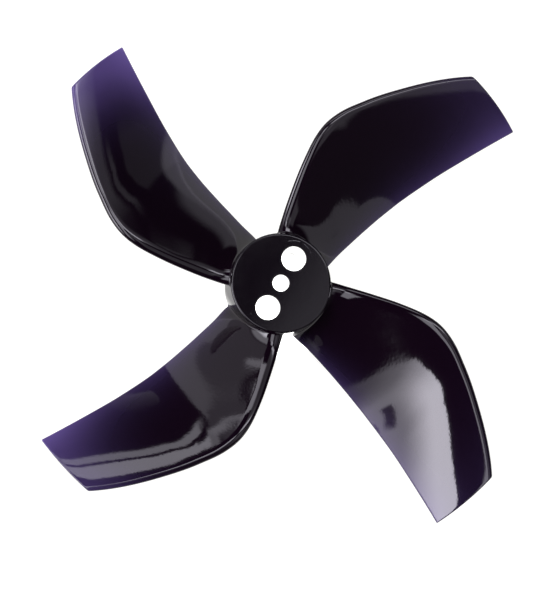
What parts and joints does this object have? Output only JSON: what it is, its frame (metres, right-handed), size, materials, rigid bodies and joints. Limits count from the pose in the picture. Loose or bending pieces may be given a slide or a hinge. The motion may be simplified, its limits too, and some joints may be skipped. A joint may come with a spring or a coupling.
{
  "type": "ducted fan propeller",
  "caption": "Small ducted-fan propeller with swept, square-tipped blades on a short two-screw hub; pushes air along the shaft when spun.",
  "frame": {"origin": "on the shaft axis at the hub's seat face", "axes": "+Z along the shaft towards the thrust side, X through the two screw holes"},
  "size_m": [0.0494, 0.0494, 0.0067],
  "materials": {
    "hub_plastic": "near-black smoked violet, gloss",
    "blade_plastic": "smoked violet, gloss, lighter where thin"
  },
  "bodies": {
    "root": {"shaft_boss": "hub_plastic", "screw_boss_left": "hub_plastic", "screw_boss_right": "hub_plastic", "web_front": "hub_plastic", "web_back": "hub_plastic", "rib_front": "hub_plastic", "rib_back": "hub_plastic", "hub_skirt": "hub_plastic", "hub_rim": "hub_plastic", "root_1": "blade_plastic", "root_2": "blade_plastic", "root_3": "blade_plastic", "root_4": "blade_plastic", "blade_1": "blade_plastic", "blade_2": "blade_plastic", "blade_3": "blade_plastic", "blade_4": "blade_plastic"}
  },
  "joints": []
}
